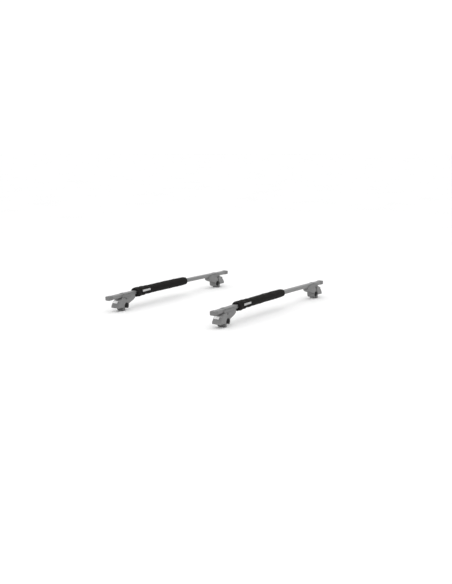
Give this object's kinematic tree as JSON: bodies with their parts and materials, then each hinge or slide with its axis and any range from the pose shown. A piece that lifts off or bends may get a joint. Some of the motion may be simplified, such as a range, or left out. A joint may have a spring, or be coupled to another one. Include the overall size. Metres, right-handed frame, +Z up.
{
  "type": "roof ski rack",
  "caption": "Pair of arched load bars on clamp feet for raised roof rails, each bar wrapped in a black padded sleeve that cushions skis or boards.",
  "frame": {"origin": "on the plane the feet stand on, under the middle of the rack", "axes": "+X towards the right-hand end of both bars, +Y from the rear bar to the front bar, +Z up"},
  "size_m": [1.2704, 0.841, 0.1229],
  "materials": {
    "bar_coating": "satin grey powder coat with a fine texture",
    "end_cap_plastic": "fine-grained grey moulding",
    "foot_plastic": "fine-grained mid-grey moulding",
    "cover_plastic": "fine-grained mid-grey moulding",
    "rubber": "dull black",
    "screw_steel": "black zinc plated",
    "jaw_metal": "satin grey coating",
    "lock_metal": "worn dark nickel",
    "badge_plastic": "blank pale plate",
    "pad_foam": "closed-cell foam core",
    "pad_fabric": "near-black woven cloth",
    "hook_and_loop": "black hook-and-loop tape",
    "label_fabric": "blank pale woven label"
  },
  "bodies": {
    "front_bar": {"front_bar_tube": "bar_coating", "front_bar_caps": "end_cap_plastic", "front_pad_foam": "pad_foam", "front_pad_sleeve": "pad_fabric", "front_pad_closure": "hook_and_loop", "front_pad_label": "label_fabric"},
    "rear_bar": {"rear_bar_tube": "bar_coating", "rear_bar_caps": "end_cap_plastic", "rear_pad_foam": "pad_foam", "rear_pad_sleeve": "pad_fabric", "rear_pad_closure": "hook_and_loop", "rear_pad_label": "label_fabric"},
    "front_right_foot": {"front_right_foot_body": "foot_plastic", "front_right_saddle_pad": "rubber", "front_right_bar_strap": "bar_coating", "front_right_strap_screws": "screw_steel", "front_right_rail_liner": "rubber", "front_right_clamp_nut": "screw_steel"},
    "front_right_jaw": {"front_right_outer_jaw": "jaw_metal", "front_right_jaw_pad": "rubber"},
    "front_right_bolt": {"front_right_clamp_bolt": "screw_steel"},
    "front_right_cover": {"front_right_cover": "cover_plastic", "front_right_badge": "badge_plastic"},
    "front_right_lock": {"front_right_lock_cylinder": "lock_metal"},
    "front_left_foot": {"front_left_foot_body": "foot_plastic", "front_left_saddle_pad": "rubber", "front_left_bar_strap": "bar_coating", "front_left_strap_screws": "screw_steel", "front_left_rail_liner": "rubber", "front_left_clamp_nut": "screw_steel"},
    "front_left_jaw": {"front_left_outer_jaw": "jaw_metal", "front_left_jaw_pad": "rubber"},
    "front_left_bolt": {"front_left_clamp_bolt": "screw_steel"},
    "front_left_cover": {"front_left_cover": "cover_plastic", "front_left_badge": "badge_plastic"},
    "front_left_lock": {"front_left_lock_cylinder": "lock_metal"},
    "rear_right_foot": {"rear_right_foot_body": "foot_plastic", "rear_right_saddle_pad": "rubber", "rear_right_bar_strap": "bar_coating", "rear_right_strap_screws": "screw_steel", "rear_right_rail_liner": "rubber", "rear_right_clamp_nut": "screw_steel"},
    "rear_right_jaw": {"rear_right_outer_jaw": "jaw_metal", "rear_right_jaw_pad": "rubber"},
    "rear_right_bolt": {"rear_right_clamp_bolt": "screw_steel"},
    "rear_right_cover": {"rear_right_cover": "cover_plastic", "rear_right_badge": "badge_plastic"},
    "rear_right_lock": {"rear_right_lock_cylinder": "lock_metal"},
    "rear_left_foot": {"rear_left_foot_body": "foot_plastic", "rear_left_saddle_pad": "rubber", "rear_left_bar_strap": "bar_coating", "rear_left_strap_screws": "screw_steel", "rear_left_rail_liner": "rubber", "rear_left_clamp_nut": "screw_steel"},
    "rear_left_jaw": {"rear_left_outer_jaw": "jaw_metal", "rear_left_jaw_pad": "rubber"},
    "rear_left_bolt": {"rear_left_clamp_bolt": "screw_steel"},
    "rear_left_cover": {"rear_left_cover": "cover_plastic", "rear_left_badge": "badge_plastic"},
    "rear_left_lock": {"rear_left_lock_cylinder": "lock_metal"}
  },
  "joints": [
    {"name": "front_right_foot_slide", "type": "slide", "parent": "front_bar", "child": "front_right_foot", "axis": [0.9999, 0, -0.0154], "range_m": [-0.008, 0.045]},
    {"name": "front_right_jaw_slide", "type": "slide", "parent": "front_right_foot", "child": "front_right_jaw", "axis": [0.9999, 0, -0.0154], "range_m": [0, 0.012]},
    {"name": "front_right_bolt_turn", "type": "hinge", "parent": "front_right_jaw", "child": "front_right_bolt", "pos_m": [0.54964, 0.3905, 0.05835], "axis": [0.9999, 0, -0.0154], "range_deg": [0, 3456]},
    {"name": "front_right_cover_slide", "type": "slide", "parent": "front_right_foot", "child": "front_right_cover", "axis": [0.9999, 0, -0.0154], "range_m": [0, 0.06]},
    {"name": "front_right_lock_turn", "type": "hinge", "parent": "front_right_cover", "child": "front_right_lock", "pos_m": [0.57854, 0.4095, 0.06441], "axis": [0.9999, 0, -0.0154], "range_deg": [0, 90]},
    {"name": "front_left_foot_slide", "type": "slide", "parent": "front_bar", "child": "front_left_foot", "axis": [-0.9999, 0, -0.0154], "range_m": [-0.008, 0.045]},
    {"name": "front_left_jaw_slide", "type": "slide", "parent": "front_left_foot", "child": "front_left_jaw", "axis": [-0.9999, 0, -0.0154], "range_m": [0, 0.012]},
    {"name": "front_left_bolt_turn", "type": "hinge", "parent": "front_left_jaw", "child": "front_left_bolt", "pos_m": [-0.54964, 0.3905, 0.05835], "axis": [-0.9999, 0, -0.0154], "range_deg": [0, 3456]},
    {"name": "front_left_cover_slide", "type": "slide", "parent": "front_left_foot", "child": "front_left_cover", "axis": [-0.9999, 0, -0.0154], "range_m": [0, 0.06]},
    {"name": "front_left_lock_turn", "type": "hinge", "parent": "front_left_cover", "child": "front_left_lock", "pos_m": [-0.57854, 0.4095, 0.06441], "axis": [0.9999, 0, 0.0154], "range_deg": [0, 90]},
    {"name": "bar_spacing", "type": "slide", "parent": "front_bar", "child": "rear_bar", "axis": [0, -1, 0], "range_m": [-0.15, 0.15]},
    {"name": "rear_right_foot_slide", "type": "slide", "parent": "rear_bar", "child": "rear_right_foot", "axis": [0.9999, 0, -0.0146], "range_m": [-0.008, 0.045]},
    {"name": "rear_right_jaw_slide", "type": "slide", "parent": "rear_right_foot", "child": "rear_right_jaw", "axis": [0.9999, 0, -0.0146], "range_m": [0, 0.012]},
    {"name": "rear_right_bolt_turn", "type": "hinge", "parent": "rear_right_jaw", "child": "rear_right_bolt", "pos_m": [0.52267, -0.3905, 0.05838], "axis": [0.9999, 0, -0.0146], "range_deg": [0, 3456]},
    {"name": "rear_right_cover_slide", "type": "slide", "parent": "rear_right_foot", "child": "rear_right_cover", "axis": [0.9999, 0, -0.0146], "range_m": [0, 0.06]},
    {"name": "rear_right_lock_turn", "type": "hinge", "parent": "rear_right_cover", "child": "rear_right_lock", "pos_m": [0.55156, -0.3715, 0.06446], "axis": [0.9999, 0, -0.0146], "range_deg": [0, 90]},
    {"name": "rear_left_foot_slide", "type": "slide", "parent": "rear_bar", "child": "rear_left_foot", "axis": [-0.9999, 0, -0.0146], "range_m": [-0.008, 0.045]},
    {"name": "rear_left_jaw_slide", "type": "slide", "parent": "rear_left_foot", "child": "rear_left_jaw", "axis": [-0.9999, 0, -0.0146], "range_m": [0, 0.012]},
    {"name": "rear_left_bolt_turn", "type": "hinge", "parent": "rear_left_jaw", "child": "rear_left_bolt", "pos_m": [-0.52267, -0.3905, 0.05838], "axis": [-0.9999, 0, -0.0146], "range_deg": [0, 3456]},
    {"name": "rear_left_cover_slide", "type": "slide", "parent": "rear_left_foot", "child": "rear_left_cover", "axis": [-0.9999, 0, -0.0146], "range_m": [0, 0.06]},
    {"name": "rear_left_lock_turn", "type": "hinge", "parent": "rear_left_cover", "child": "rear_left_lock", "pos_m": [-0.55156, -0.3715, 0.06446], "axis": [0.9999, 0, 0.0146], "range_deg": [0, 90]}
  ],
  "couplings": [
    {"joint": "front_right_bolt_turn", "follows": "front_right_jaw_slide", "rad_per_m": 5026.5},
    {"joint": "front_left_bolt_turn", "follows": "front_left_jaw_slide", "rad_per_m": 5026.5},
    {"joint": "rear_right_bolt_turn", "follows": "rear_right_jaw_slide", "rad_per_m": 5026.5},
    {"joint": "rear_left_bolt_turn", "follows": "rear_left_jaw_slide", "rad_per_m": 5026.5}
  ]
}
